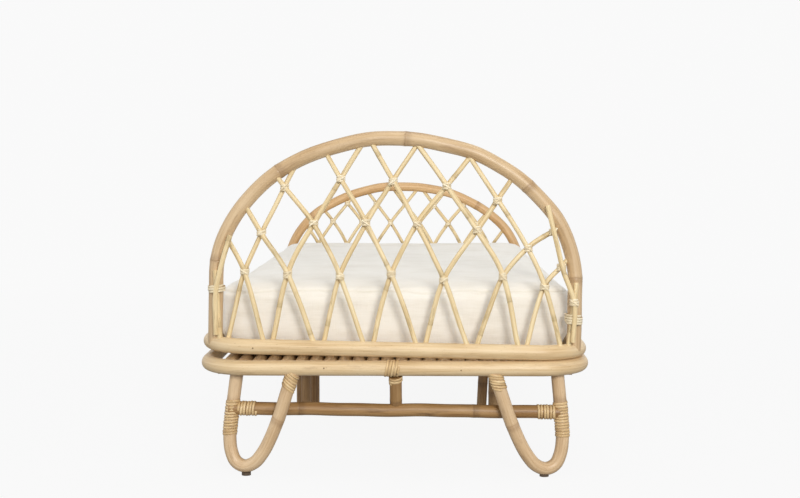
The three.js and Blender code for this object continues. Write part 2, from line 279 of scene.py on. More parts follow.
def cottonFinish(name, look):
    # plain weave: the threads show as bump, with soft slubs and faint creases; the creases and the seam line
    # also darken the colour as painted shade
    material, start = newFinish(name)
    place = start.node("ShaderNodeTexCoord", out="Object")
    parts = start.node("ShaderNodeSeparateXYZ", None, {0: place})
    turn = 2 * math.pi / look["thread"]
    waves = [(parts.also(axis) * turn).through("SINE") for axis in "XYZ"]
    weave = waves[0] * waves[1] + waves[1] * waves[2] + waves[2] * waves[0]
    slub = place.scaled(1400, 1400, 90).noise(2.0) + place.scaled(90, 1400, 1400).noise(2.0)
    creaseBumpAndShade = place.scaled(24, 24, 150).noise(4.0, 0.65)
    cloud = place.scaled(14, 14, 20).noise(3.0)
    # the crease noise pulls the colour toward the shade stop in its hollows: painted shade in the creases
    tone = (slub * 0.12 + creaseBumpAndShade * 0.4 + cloud * 0.2).stretch(0.3, 0.54)
    colour = tone.node("ShaderNodeValToRGB", {"stops": [
        (0.0, tint(*look["shade"])), (0.5, tint(*look["mid"])), (1.0, tint(*look["pale"]))]}, {0: tone})
    roughness = slub.stretch(0.6, 1.4, 0.78, 0.93)
    overSeam = parts.also("Z") - look["seam"] + (place.scaled(30, 30, 30).noise(3.0) - 0.5) * 0.006
    seamGrooveAndShade = overSeam.bell(0.8 * mm)
    pucker = place.scaled(55, 55, 330).noise(3.0, 0.6) * overSeam.bell(7 * mm)
    # painted shade along the sunken seam line, which the bump also presses in
    colour = (seamGrooveAndShade * 0.35).mixed(colour, tint(*look["shade"]), "MULTIPLY")
    height = weave * 0.1 + slub * 0.2 + creaseBumpAndShade * 0.8 + pucker * 5.0 - seamGrooveAndShade * 2.0
    closeFinish(start, colour, roughness, height, 0.4, 0.0006, Sheen_Weight=0.15, Sheen_Roughness=0.5)
    return material


def plainFinish(name, low, high, roughness, metal=0.0, grain=900):
    # hard small parts: a dark base with fine mottling
    material, start = newFinish(name)
    place = start.node("ShaderNodeTexCoord", out="Object")
    mottle = place.scaled(grain, grain, grain).noise(3.0, 0.6)
    colour = mottle.stretch(0.3, 0.7).mixed(tint(*low), tint(*high))
    rough = mottle.stretch(0.3, 0.7, roughness - 0.08, roughness + 0.1)
    closeFinish(start, colour, rough, mottle, 0.3, 0.0002, Metallic=metal)
    return material


def floorFinish():
    # a pale painted floor that turns into the bright sweep further out
    material, start = newFinish("studioFloor")
    place = start.node("ShaderNodeTexCoord", out="Object")
    cloud = place.scaled(3, 3, 3).noise(2.0)
    low, high = studio["floor"] - 0.01, studio["floor"] + 0.01
    colour = cloud.stretch(0.3, 0.7).mixed((low, low, low, 1), (high, high, high, 1))
    painted = start.node("ShaderNodeBsdfPrincipled", None, {"Base Color": colour, "Roughness": 0.9})
    sweep = start.node("ShaderNodeEmission", None, {"Color": (1, 1, 1, 1), "Strength": 0.95})
    away = place.node("ShaderNodeVectorMath", {"operation": "LENGTH"}, {0: place}, out="Value")
    share = away.stretch(*studio["floorEdge"], studio["floorGlow"], 1.0)
    mix = start.node("ShaderNodeMixShader", None, {0: share, 1: painted, 2: sweep})
    start.node("ShaderNodeOutputMaterial", None, {"Surface": mix})
    return material


def makeFloor():
    mesh = bpy.data.meshes.new("floor")
    reach = 40.0
    corners = [(-reach, -reach, 0), (reach, -reach, 0), (reach, reach, 0), (-reach, reach, 0)]
    mesh.from_pydata(corners, [], [(0, 1, 2, 3)])
    floor = bpy.data.objects.new("floor", mesh)
    mesh.materials.append(floorFinish())
    bpy.context.scene.collection.objects.link(floor)
    floor.visible_diffuse = False
    floor.visible_glossy = False


def makeSky():
    world = bpy.data.worlds.new("studioSky")
    world.use_nodes = True
    world.node_tree.nodes.clear()
    start = Wire(world.node_tree)
    aim = start.node("ShaderNodeTexCoord", out="Generated")
    height = start.node("ShaderNodeSeparateXYZ", None, {0: aim}, out="Z")
    stops = [(place, (value, value, value, 1)) for place, value in studio["sky"]]
    shade = start.node("ShaderNodeValToRGB", {"stops": stops}, {0: height.stretch(-1, 1)})
    sky = start.node("ShaderNodeBackground", None, {"Color": shade, "Strength": 1.0})
    start.node("ShaderNodeOutputWorld", None, {"Surface": sky})
    bpy.context.scene.world = world


bpy.context.scene.view_settings.view_transform = "Standard"
makeCamera()
makeSky()
makeFloor()
for lightName in ("key", "fill", "back", "top"):
    makeLight(lightName, studio[lightName])

railCane = caneFinish("railCane", railLook)
hoopCane = caneFinish("hoopCane", hoopLook)
backHoopCane = caneFinish("backHoopCane", backHoopLook)
rodCane = caneFinish("rodCane", rodLook)
legCane = caneFinish("legCane", legLook)
# painted shade: a darker copy of the cane for the parts under the bed
shadedBarCane = caneFinish("shadedBarCane", shadedBarLook)
slatCane = caneFinish("slatCane", slatLook)
peel = peelFinish("peel", peelLook)
binding = peelFinish("binding", bindingLook)
cotton = cottonFinish("cotton", cottonLook)
footRubber = plainFinish("footRubber", (70, 56, 43), (96, 78, 60), 0.7)
nailSteel = plainFinish("nailSteel", (112, 88, 62), (150, 122, 90), 0.45, 0.5, 2500)
print("stage and finishes made")


# geometry node trees that sweep cane along its path

def treeInputs(tree, inputs):
    tree.interface.new_socket("Geometry", in_out="OUTPUT", socket_type="NodeSocketGeometry")
    tree.interface.new_socket("Geometry", in_out="INPUT", socket_type="NodeSocketGeometry")
    for name, (kind, value) in inputs.items():
        socket = tree.interface.new_socket(name, in_out="INPUT", socket_type=kind)
        if value is not None:
            socket.default_value = value


def finishTree(start, shape, entry):
    smooth = start.node("GeometryNodeSetShadeSmooth", None, {0: shape, "Shade Smooth": True})
    real = start.node("GeometryNodeRealizeInstances", None, {0: smooth})
    done = start.node("GeometryNodeSetMaterial", None, {0: real, "Material": entry.also("Finish")})
    start.node("NodeGroupOutput", None, {0: done})


def namedValue(start, name, kind="FLOAT"):
    return start.node("GeometryNodeInputNamedAttribute", {"data_type": kind}, {"Name": name}, out="Attribute")


def sweepTree(name, flat):
    # sweeps a round pole, or a flat strip where flat is true, along every string of points
    tree = bpy.data.node_groups.new(name, "GeometryNodeTree")
    treeInputs(tree, {
        "Sides": ("NodeSocketInt", 20),
        "Swell": ("NodeSocketFloat", 0.05),
        "Swell Width": ("NodeSocketFloat", 0.0016),
        "Unevenness": ("NodeSocketFloat", 0.02),
        "Thickness": ("NodeSocketFloat", 1.0),
        "Finish": ("NodeSocketMaterial", None),
    })
    start = Wire(tree)
    entry = start.node("NodeGroupInput")
    curve = start.node("GeometryNodeMeshToCurve", None, {0: entry})
    along = namedValue(start, "along")
    thick = namedValue(start, "thick")
    seed = namedValue(start, "poleSeed")
    knuckle = namedValue(start, "knuckle")
    spot = start.node("ShaderNodeCombineXYZ", None, {0: along * 45.0, 1: seed * 17.0, 2: 0.0})
    uneven = (spot.noise(2.0) - 0.5) * entry.also("Unevenness")
    bump = knuckle.bell(entry.also("Swell Width")) * entry.also("Swell")
    radius = thick * (1.0 + uneven + bump)
    if flat:
        outward = namedValue(start, "outward", "FLOAT_VECTOR")
        curve = start.node("GeometryNodeSetCurveNormal", {"mode": "FREE"}, {0: curve, "Normal": outward})
    ring = start.node("GeometryNodeCurvePrimitiveCircle", None,
                      {"Resolution": entry.also("Sides"), "Radius": 1.0})
    turn = start.node("GeometryNodeSplineParameter", out="Factor")
    held = start.node("GeometryNodeCaptureAttribute", {"capture": ("FLOAT", "turn")}, {0: ring, 1: turn})
    angle = held.also(1) * (2 * math.pi)
    if flat:
        size = start.node("ShaderNodeCombineXYZ", None, {0: entry.also("Thickness"), 1: 1.0, 2: 1.0})
        held = start.node("GeometryNodeTransform", None, {0: held, "Scale": size})
    swept = start.node("GeometryNodeCurveToMesh", None,
                       {0: curve, 1: held, "Scale": radius, "Fill Caps": True})
    space = start.node("ShaderNodeCombineXYZ", None, {
        0: along, 1: angle.through("COSINE") * thick, 2: angle.through("SINE") * thick})
    stored = start.node("GeometryNodeStoreNamedAttribute", {"data_type": "FLOAT_VECTOR", "domain": "POINT"},
                        {0: swept, "Name": "caneSpace", "Value": space})
    finishTree(start, stored, entry)
    return tree


poleTree = sweepTree("caneSweep", False)
stripTree = sweepTree("peelSweep", True)


def runTree(source, tree, values):
    # gives back a plain mesh object, and drops the strings that it was made from
    modifier = source.modifiers.new("sweep", "NODES")
    modifier.node_group = tree
    for item in tree.interface.items_tree:
        if item.item_type == "SOCKET" and item.in_out == "INPUT" and item.name in values:
            modifier[item.identifier] = values[item.name]
    graph = bpy.context.evaluated_depsgraph_get()
    mesh = bpy.data.meshes.new_from_object(source.evaluated_get(graph))
    source.modifiers.remove(modifier)
    name = source.name
    bpy.data.objects.remove(source)
    piece = bpy.data.objects.new(name, mesh)
    mesh.name = name
    bpy.context.scene.collection.objects.link(piece)
    for face in mesh.polygons:
        face.use_smooth = len(face.vertices) == 4
    return piece


def makeStrings(name, strings):
    # one object of loose edges, with what the tree needs to know at every point
    outOfReach = [9.0]  # where the knuckle of a string that has none is put
    points, edges = [], []
    columns = {key: [] for key in ("along", "thick", "poleSeed", "knuckle", "outward")}
    for string in strings:
        path = string["path"]
        first = len(points)
        points.extend(path.tolist())
        edges.extend((first + i, first + i + 1) for i in range(len(path) - 1))
        along = distances(path)
        columns["along"].extend(along)
        columns["thick"].extend(np.broadcast_to(string["thick"], len(path)))
        columns["poleSeed"].extend([string["seed"]] * len(path))
        marks = np.array(string.get("knuckles") or outOfReach)
        gap = along[:, None] - marks[None, :]
        nearest = np.abs(gap).argmin(1)
        columns["knuckle"].extend(gap[np.arange(len(path)), nearest])
        columns["outward"].extend(string.get("outward", np.zeros((len(path), 3))).ravel())
    mesh = bpy.data.meshes.new(name)
    mesh.from_pydata(points, edges, [])
    for key, values in columns.items():
        kind, field = ("FLOAT_VECTOR", "vector") if key == "outward" else ("FLOAT", "value")
        layer = mesh.attributes.new(key, kind, "POINT")
        layer.data.foreach_set(field, np.array(values, np.float32))
    source = bpy.data.objects.new(name, mesh)
    bpy.context.scene.collection.objects.link(source)
    return source


def makePoles(name, strings, finish, sides=20, swell=0.05, swellWidth=0.0018, unevenness=0.03):
    values = {"Sides": sides, "Swell": swell, "Swell Width": swellWidth, "Unevenness": unevenness,
              "Finish": finish}
    return runTree(makeStrings(name, strings), poleTree, values)


def makePeel(name, strings, finish, sides=8, thickness=0.36):
    values = {"Sides": sides, "Swell": 0.0, "Unevenness": 0.12, "Thickness": thickness, "Finish": finish}
    return runTree(makeStrings(name, strings), stripTree, values)


def settle(piece, body, slot, *nodes):
    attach(piece, body)
    if nodes:
        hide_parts(*nodes)
    return piece


# paths

def distances(path):
    return np.concatenate([[0.0], np.cumsum(np.linalg.norm(np.diff(path, axis=0), axis=1))])


def resample(path, spacing):
    along = distances(path)
    count = max(2, int(round(along[-1] / spacing)) + 1)
    at = np.linspace(0, along[-1], count)
    return np.stack([np.interp(at, along, path[:, axis]) for axis in range(3)], 1)


def smoothPath(points, spacing=fineStep):
    # a centripetal spline through the points, evenly spaced
    knots = np.array(points, float)
    knots = np.vstack([2 * knots[0] - knots[1], knots, 2 * knots[-1] - knots[-2]])
    path = []
    for p0, p1, p2, p3 in zip(knots, knots[1:], knots[2:], knots[3:]):
        d0, d1, d2 = (np.linalg.norm(b - a) ** 0.5 for a, b in ((p0, p1), (p1, p2), (p2, p3)))
        m1 = ((p1 - p0) / d0 - (p2 - p0) / (d0 + d1) + (p2 - p1) / d1) * d1
        m2 = ((p2 - p1) / d1 - (p3 - p1) / (d1 + d2) + (p3 - p2) / d2) * d1
        for t in np.linspace(0, 1, 24, endpoint=False):
            path.append((2 * t**3 - 3 * t**2 + 1) * p1 + (t**3 - 2 * t**2 + t) * m1
                        + (3 * t**2 - 2 * t**3) * p2 + (t**3 - t**2) * m2)
    path.append(knots[-2])
    return resample(np.array(path), spacing)


def wobble(path, amount, seed, wave=0.09):
    # hand-bent cane is never quite true; the ends stay where they are
    draw = np.random.default_rng(seed)
    along = distances(path)
    fade = np.sqrt(np.clip(np.sin(np.pi * along / along[-1]), 0, 1))
    moved = path.copy()
    for axis in range(3):
        for share in (1.0, 0.47):
            phase = draw.uniform(0, 2 * np.pi)
            moved[:, axis] += amount * share * fade * np.sin(2 * np.pi * along / (wave * share) + phase)
    return moved


def lean(path):
    # from the upper frame's own place to where it stands, leaning a little to the right
    angle = math.radians(upperFrame["lean"])
    x, y, z = path.T
    return np.stack([x * math.cos(angle) + z * math.sin(angle), y,
                     upperHeight - x * math.sin(angle) + z * math.cos(angle)], 1)


def nearestDistance(path, x, z):
    gap = np.hypot(path[:, 0] - x, path[:, 2] - z)
    return float(distances(path)[gap.argmin()])


# the two rails

rail = dict(radius=5.9 * mm, corner=36 * mm, spacing=2.0 * mm)
upperFrame = dict(above=14.3 * mm, lean=1.1)
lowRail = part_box("lower_rail")
endY = lowRail[1].y - rail["radius"]
lowerHalfWidth = lowRail[1].x - rail["radius"]
lowerHeight = (lowRail[0].z + lowRail[1].z) / 2
upperHalfWidth = lowerHalfWidth - 1.7 * mm
upperHeight = lowerHeight + upperFrame["above"]


def railPath(halfWidth, height, startSide):
    # starts and ends in the middle of one long side, where the ends of the pole meet
    points = [(startSide * halfWidth, 0.0, height)]
    for cornerX, cornerY in ((1, -1), (-1, -1), (-1, 1), (1, 1)):
        for step in np.linspace(0, 1, 15):
            turn = step if cornerX * cornerY < 0 else 1 - step
            angle = math.pi / 2 * turn
            x = cornerX * (halfWidth - rail["corner"] + rail["corner"] * math.cos(angle))
            y = cornerY * (endY - rail["corner"] + rail["corner"] * math.sin(angle))
            points.append((startSide * x, y, height))
    points.append((startSide * halfWidth, 0.0, height))
    return resample(np.array(points), rail["spacing"])


def makeRails():
    lower = railPath(lowerHalfWidth, lowerHeight, 1)
    upper = lean(railPath(upperHalfWidth, 0.0, -1))
    lowerPole = dict(path=lower, thick=rail["radius"], seed=1.0, knuckles=[0.14, 0.60, 0.83, 1.12, 1.41])
    upperPole = dict(path=upper, thick=rail["radius"], seed=2.0, knuckles=[0.15, 0.61, 0.80, 1.10, 1.40])
    piece = makePoles("lowerRail", [lowerPole], railCane, 24, 0.02)
    settle(piece, "frame", "cane_rail", "lower_rail")
    piece = makePoles("upperRail", [upperPole], railCane, 24, 0.02)
    settle(piece, "frame", "cane_rail", "upper_rail")


makeRails()
print("rails made")


# the arched ends

hoops = dict(
    tall=dict(end=-1, halfWidth=138.5 * mm, spring=50 * mm, rise=110.6 * mm, radius=5.6 * mm, seed=3.0,
              knuckles=[(-92, 134), (5.5, 160), (101, 128), (-138, 65), (138, 56)]),
    low=dict(end=1, halfWidth=136.5 * mm, spring=17 * mm, rise=96.1 * mm, radius=5.1 * mm, seed=4.0,
             knuckles=[(-110, 76), (-20, 112), (84, 92), (135, 30)]),
)
hoopSetback = 15 * mm
rod = dict(radius=1.9 * mm, layer=2.1 * mm, split=2.3 * mm, lowPitch=34 * mm)
tallFeet = [-131, -96, -57, -19, 21, 60, 98, 131]
outerRodEnd = (-126.7, 84.3)  # where the outermost left rod stops, on the face of the hoop
outerFoot = (136.5, 8)  # the outermost rod at each side starts on the hoop's face
tallKnots = [
    [(-137, 43), (-115, 57), (-82, 56), (-42, 55), (-3, 58), (37, 54), (82, 57), (114, 50), (137, 38)],
    [(-128, 79), (-103, 87), (-63, 95), (-23, 96), (16, 96), (62, 92), (101, 79), (127, 65)],
    [None, (-86, 122), (-43, 129), (-3, 128), (38, 125), (77, 115), (120, 92)],
]
lowRows = [42, 70, 92]


def hoopPath(hoop):
    y = hoop["end"] * (endY - hoopSetback)
    points = [(-hoop["halfWidth"], y, 0.0)]
    for angle in np.linspace(math.pi, 0, 90):
        x, z = hoop["halfWidth"] * math.cos(angle), hoop["spring"] + hoop["rise"] * math.sin(angle)
        points.append((x, y, z))
    points.append((hoop["halfWidth"], y, 0.0))
    return resample(np.array(points), fineStep)


def insideHoop(hoop, x, z):
    rise = max(z - hoop["spring"], 0) / hoop["rise"]
    return (x / hoop["halfWidth"]) ** 2 + rise**2 < 1


def latticeY(hoop, x, z, outer=False, layer=0):
    # over the end rail at the foot, bowing back into the plane of the hoop as it comes up to it;
    # the outer rods stay in front of the hoop, and the two layers close up where they meet it
    past = max(abs(x) - (upperHalfWidth - rail["corner"]), 0)
    foot = 2 * mm + min(rail["corner"] - math.sqrt(rail["corner"] ** 2 - past**2), 4 * mm)
    across = 0 if outer else min(abs(x) / hoop["halfWidth"], 1)
    top = hoop["spring"] + hoop["rise"] * math.sqrt(1 - across**2)
    rise = min(z / top, 1) ** 2
    apart = layer * rod["layer"] * (1 - 0.8 * rise**6)
    return hoop["end"] * (endY - foot - (hoopSetback - foot) * rise - apart)


def endAtHoop(route, hoop):
    kept = [route[0]]
    for point in route[1:]:
        if not insideHoop(hoop, *point):
            break
        kept.append(point)
    start = np.array(kept[-1])
    if len(kept) < len(route):
        aim = np.array(route[len(kept)]) - start
    else:
        aim = start - np.array(route[-2])
    reach = 0.0
    while insideHoop(hoop, *(start + reach * aim)) and reach < 3:
        reach += 0.01
    return [*kept, tuple(start + reach * aim)]


def rodPath(route, hoop, layer, outer):
    free = route[-1] == outerRodEnd
    route = [(x * mm, z * mm) for x, z in route]
    points = [(x, latticeY(hoop, x, z, outer, layer), z)
              for x, z in (route if free else endAtHoop(route, hoop))]
    return smoothPath(points)


def tallRoute(foot, start, side):
    route = [start]
    for row, knots in enumerate(tallKnots):
        index = foot + 1 if side > 0 else foot - row
        if index < 0 or index >= len(knots) or knots[index] is None:
            break
        route.append(knots[index])
    return route


def tallRoutes():
    split = rod["split"] / mm
    last = len(tallFeet) - 1
    outerRight = [*tallRoute(-1, (-outerFoot[0], outerFoot[1]), 1), outerRodEnd]
    routes = [("tall_rod_right_0", -1, True, outerRight)]
    for foot, x in enumerate(tallFeet):
        routes.append((f"tall_rod_right_{foot + 1}", 1, foot == last, tallRoute(foot, (x + split, 0), 1)))
        layer = -1 if foot else 1
        routes.append((f"tall_rod_left_{foot + 1}", layer, foot == 0, tallRoute(foot, (x - split, 0), -1)))
    routes.append((f"tall_rod_left_{last + 2}", -1, True, tallRoute(last + 1, outerFoot, -1)))
    return routes


def lowRoutes():
    pitch, split = rod["lowPitch"] / mm, rod["split"] / mm
    routes = []
    for foot in range(8):
        x = (foot - 3.5) * pitch
        for side, word in ((-1, "left"), (1, "right")):
            climb = [(x + side * (row + 1) * pitch / 2, z) for row, z in enumerate(lowRows)]
            routes.append((f"low_rod_{word}_{foot + 1}", side, False, [(x + side * split, 0), *climb]))
    return routes


innerKnots = 0.92  # ties this close to a hoop, and closer, are left out


def latticeKnots(name):
    if name == "tall":
        knots = [knot for row in tallKnots for knot in row if knot]
    else:
        pitch = rod["lowPitch"] / mm
        knots = [((place - 4 + 0.5 * (row % 2)) * pitch, z)
                 for row, z in enumerate(lowRows) for place in range(9)]
    hoop = hoops[name]
    kept = []
    for x, z in knots:
        rise = max(z * mm - hoop["spring"], 0) / hoop["rise"]
        if (x * mm / hoop["halfWidth"]) ** 2 + rise**2 < innerKnots:
            kept.append((x * mm, latticeY(hoop, x * mm, z * mm), z * mm))
    return kept


tie = dict(halfWidth=3.0 * mm, halfDepth=4.4 * mm, turns=3, pitch=1.8 * mm, strip=0.93 * mm, tail=4.1 * mm)
hoopTie = dict(
    halfWidth=6.0 * mm, halfDepth=8.6 * mm, turns=3, pitch=1.9 * mm, strip=0.9 * mm, tail=0,
    forward=2.6 * mm, places=[(-1, -137.5, 43), (-1, 137.5, 25), (1, -135.5, 25), (1, 135.5, 25)],
)  # end of the bed, across and height


def tieStrips(knot, seed, size=tie):
    # a few tight turns of peel round the crossing, and its tail tucked across the front
    draw = np.random.default_rng(seed)
    turns = size["turns"] + draw.choice([-0.5, 0.0, 0.0, 0.5])
    t = np.linspace(0, 1, int(turns * 22))
    angle = 2 * np.pi * turns * t + draw.uniform(0, 2 * np.pi)
    tight = 1 - 0.16 * (np.abs(2 * t - 1) ** 6)
    width = size["halfWidth"] * draw.uniform(0.92, 1.15)
    x = width * tight * np.cos(angle)
    y = size["halfDepth"] * tight * np.sin(angle)
    slant = draw.uniform(-0.16, 0.16)
    z = (t - 0.5) * size["pitch"] * turns + slant * x + 0.12 * mm * np.sin(3 * angle)
    outward = np.stack([np.cos(angle) / width, np.sin(angle) / size["halfDepth"], 0 * angle], 1)
    outward /= np.linalg.norm(outward, axis=1)[:, None]
    path = np.stack([x, y, z], 1) + np.array(knot)
    strips = [dict(path=path, thick=size["strip"], seed=float(seed), outward=outward)]
    if not size["tail"]:
        return strips
    side = draw.choice([-1, 1])
    rise = draw.choice([-1, 1])
    front = -1 if knot[1] < 0 else 1
    s = np.linspace(-1, 1, 12)
    tail = np.stack([side * s * size["tail"] * 0.75,
                     front * (size["halfDepth"] + 0.35 * mm) * np.sqrt(np.clip(1.25 - 0.6 * s**2, 0, 1)),
                     rise * s * size["tail"] * draw.uniform(0.4, 0.75)], 1) + np.array(knot)
    facing = np.tile([0.0, front, 0.0], (len(s), 1))
    strips.append(dict(path=tail, thick=size["strip"] * 0.62, seed=float(seed) + 0.5, outward=facing))
    return strips


def makeEnd(name, routes, hoopFinish, seed):
    hoop = hoops[name]
    path = hoopPath(hoop)
    knuckles = sorted(nearestDistance(path, x * mm, z * mm) for x, z in hoop["knuckles"])
    pole = dict(path=wobble(lean(path), 0.35 * mm, seed), thick=hoop["radius"], seed=hoop["seed"],
                knuckles=knuckles)
    piece = makePoles(name + "Hoop", [pole], hoopFinish, 24, 0.045)
    settle(piece, "frame", "cane_hoop", name + "_hoop")
    draw = np.random.default_rng(seed)
    rods = []
    for index, (node, layer, outer, route) in enumerate(routes):
        path = wobble(lean(rodPath(route, hoop, layer, outer)), 0.3 * mm, seed + index)
        length = distances(path)[-1]
        knuckles = list(np.arange(draw.uniform(0.01, 0.08), length, draw.uniform(0.07, 0.12)))
        rods.append(dict(path=path, thick=rod["radius"] * draw.uniform(0.94, 1.06),
                         seed=10.0 + index + seed, knuckles=knuckles))
    piece = makePoles(name + "Lattice", rods, rodCane, 12, 0.07, 0.0012, 0.08)
    settle(piece, "frame", "cane_rod", *[route[0] for route in routes])
    strips = []
    knots = latticeKnots(name)
    if name == "tall":
        x, z = (value * mm for value in tallKnots[0][-1])
        knots.append((x, latticeY(hoop, x, z, True), z))
    for index, knot in enumerate(knots):
        for strip in tieStrips(knot, seed * 10 + index):
            strip["path"] = lean(strip["path"])
            strips.append(strip)
    settle(makePeel(name + "Ties", strips, peel), "frame", "cane_rod")


makeEnd("tall", tallRoutes(), hoopCane, 31)
makeEnd("low", lowRoutes(), backHoopCane, 57)
print("arched ends made")


# legs, stretchers and posts

leg = dict(radius=5.1 * mm, lean=2.3, railHeight=85.5, drop=1.3, swing=1.7)  # these two at the right only
legRoute = [
    (75, 0, 88), (82, 1, 66), (88, 3, 47.5), (96, 5.5, 28), (101.5, 7, 18), (108, 9, 10.2), (116, 11, 7),
    (123, 12.5, 10), (127, 13.5, 18), (128.5, 14, 29.5), (127.5, 14.5, 46), (124, 14.6, 79.5),
]  # across, behind the rail, height
stretcher = dict(radius=5.1 * mm, height=50.6 * mm, setback=14 * mm, drop=1.2 * mm, halfLength=128 * mm)
post = dict(radius=4.7 * mm, offset=1.5 * mm)


def legPath(side, end):
    drop, swing = (0, 0) if side < 0 else (leg["drop"], leg["swing"])
    lowest = min(range(len(legRoute)), key=lambda index: legRoute[index][2])
    points = []
    for index, (x, setback, z) in enumerate(legRoute):
        share = z / leg["railHeight"]
        shift = (leg["lean"] * share if index > lowest else 0) + swing * (1 - share)
        points.append(((side * x + shift) * mm, end * (endY - setback * mm), (z - drop * (1 - share)) * mm))
    return smoothPath(points)


def makeLegs():
    poles, nodes = [], []
    for end, word in ((-1, "tall"), (1, "low")):
        for side, hand in ((-1, "left"), (1, "right")):
            path = legPath(side, end)
            seed = 100.0 + 3 * end + side
            draw = np.random.default_rng(int(seed))
            knuckles = [draw.uniform(0.03, 0.05), draw.uniform(0.12, 0.16)]
            poles.append(dict(path=path, thick=leg["radius"], seed=seed, knuckles=knuckles))
            nodes.append(f"{word}_leg_{hand}")
    settle(makePoles("cornerLegs", poles, legCane, 24, 0.03), "frame", "cane_leg", *nodes)


def stretcherEnds(end):
    y = end * (endY - stretcher["setback"])
    return np.array([(-stretcher["halfLength"], y, stretcher["height"] + stretcher["drop"]),
                     (stretcher["halfLength"], y, stretcher["height"] - stretcher["drop"])])


def makeBars():
    poles, nodes = [], []
    for end, word in ((-1, "tall"), (1, "low")):
        bar = stretcherEnds(end)
        y = bar[0][1]
        upright = np.array([(post["offset"], end * (endY - 3 * mm), lowerHeight - 7.4 * mm),
                            (post["offset"], y - end * 1.5 * mm, stretcher["height"] + 3.5 * mm)])
        bar = wobble(resample(bar, fineStep), 0.3 * mm, 70 + end)
        poles.append(dict(path=bar, thick=stretcher["radius"],
                          seed=120.0 + end, knuckles=[0.055, 0.19]))
        poles.append(dict(path=resample(upright, fineStep), thick=post["radius"], seed=125.0 + end,
                          knuckles=[0.022]))
        nodes += [word + "_stretcher", word + "_post"]
    settle(makePoles("crossBars", poles, shadedBarCane, 24, 0.03), "frame", "cane_leg", *nodes)


def makeMiddle():
    poles, nodes = [], []
    for node in ["mid_bearer"] + [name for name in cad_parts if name.startswith("mid_leg")]:
        low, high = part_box(node)
        middle = (low + high) / 2
        if node == "mid_bearer":
            radius = (high.z - low.z) / 2
            ends = [(low.x, middle.y, middle.z), (high.x, middle.y, middle.z)]
        else:
            radius = (high.y - low.y) / 2
            splay = (high.x - low.x) / 2 - radius
            ends = [(middle.x + splay, middle.y, high.z), (middle.x - splay, middle.y, low.z)]
        poles.append(dict(path=resample(np.array(ends), fineStep), thick=radius,
                          seed=140.0 + len(poles), knuckles=[0.031 + 0.006 * len(poles)]))
        nodes.append(node)
    settle(makePoles("middleSupport", poles, shadedBarCane, 20, 0.03), "frame", "cane_leg", *nodes)


lashing = dict(strip=0.98 * mm, pitch=2.3 * mm, lift=0.3 * mm)
wraps = dict(
    innerStart=5.5 * mm, innerTurns=6,  # from the top of the inner arm
    outerStart=21.5 * mm, outerTurns=12,  # from the top of the outer arm
    barLeft=7.5 * mm, barRight=3.5 * mm, barTurns=6,  # from the ends of the stretcher
    frontReach=30 * mm, frontHalf=6.5 * mm, frontTurns=4.6,  # over the lower rail, above the post
    postStart=0.5 * mm, postTurns=2.4,
)


def wrapStrip(path, start, turns, core, seed, slant=0.0, across=(0, 1, 0)):
    # tight turns round a pole from start, a distance along it; slant tips the turns over
    draw = np.random.default_rng(seed)
    along = distances(path)
    t = np.linspace(0, 1, int(abs(turns) * 26) + 2)
    at = np.clip(start + lashing["pitch"] * turns * t, 0, along[-1])
    centre = np.stack([np.interp(at, along, path[:, axis]) for axis in range(3)], 1)
    tangent = np.gradient(path, along, axis=0)
    tangent = np.stack([np.interp(at, along, tangent[:, axis]) for axis in range(3)], 1)
    tangent /= np.linalg.norm(tangent, axis=1)[:, None]
    side = np.cross(tangent, across)
    side /= np.linalg.norm(side, axis=1)[:, None]
    depth = np.cross(side, tangent)
    angle = 2 * np.pi * abs(turns) * t + draw.uniform(0, 2 * np.pi)
    outward = np.cos(angle)[:, None] * side + np.sin(angle)[:, None] * depth
    ends = 0.6 * mm * (np.abs(2 * t - 1) ** (12 * abs(turns)))
    uneven = 0.1 * mm * np.sin(angle * 1.37 + draw.uniform(0, 6))
    radius = core + lashing["lift"] + uneven - ends
    shift = slant * core * np.cos(angle) + 0.15 * mm * np.sin(angle * 0.61)
    points = centre + outward * radius[:, None] + tangent * shift[:, None]
    return dict(path=points, thick=lashing["strip"], seed=float(seed), outward=outward)


def makeLashings():
    strips = []
    for end in (-1, 1):
        for side in (-1, 1):
            path = legPath(side, end)
            length = distances(path)[-1]
            seed = 200 + 40 * end + 10 * side
            radius = leg["radius"]
            inner, outer = wraps["innerStart"], length - wraps["outerStart"]
            strips.append(wrapStrip(path, inner, wraps["innerTurns"], radius, seed, 0.35))
            strips.append(wrapStrip(path, outer, -wraps["outerTurns"], radius, seed + 1, 0.1 * side))
        bar = resample(stretcherEnds(end), fineStep)
        y = bar[0][1]
        turns, radius = wraps["barTurns"], stretcher["radius"]
        right = distances(bar)[-1] - wraps["barRight"]
        strips.append(wrapStrip(bar, wraps["barLeft"], turns, radius, 300 + end, 0.05))
        strips.append(wrapStrip(bar, right, -turns, radius, 310 + end, 0.05))
        reach = wraps["frontReach"]
        front = np.array([(-reach, end * endY, lowerHeight), (reach, end * endY, lowerHeight)])
        front = resample(front, fineStep)
        left, turns = reach - wraps["frontHalf"], wraps["frontTurns"]
        strips.append(wrapStrip(front, left, turns, rail["radius"], 320 + end, 0.12))
        upright = np.array([(post["offset"], end * (endY - 3 * mm), lowerHeight - 6 * mm),
                            (post["offset"], y, stretcher["height"])])
        upright = resample(upright, fineStep)
        top, turns = wraps["postStart"], wraps["postTurns"]
        strips.append(wrapStrip(upright, top, turns, post["radius"], 330 + end, -0.2))
    settle(makePeel("lashings", strips, binding, 8, 0.42), "frame", "cane_rod")
    strips = []
    middle = endY - hoopSetback + hoopTie["forward"]
    for end, x, z in hoopTie["places"]:
        for strip in tieStrips((x * mm, end * middle, z * mm), 340 + int(x) + end, hoopTie):
            strip["path"] = lean(strip["path"])
            strips.append(strip)
    settle(makePeel("hoopLashings", strips, peel, 8, 0.2), "frame", "cane_rod")


makeLegs()
makeBars()
makeMiddle()
makeLashings()
print("legs, bars and lashings made")


# the slatted deck

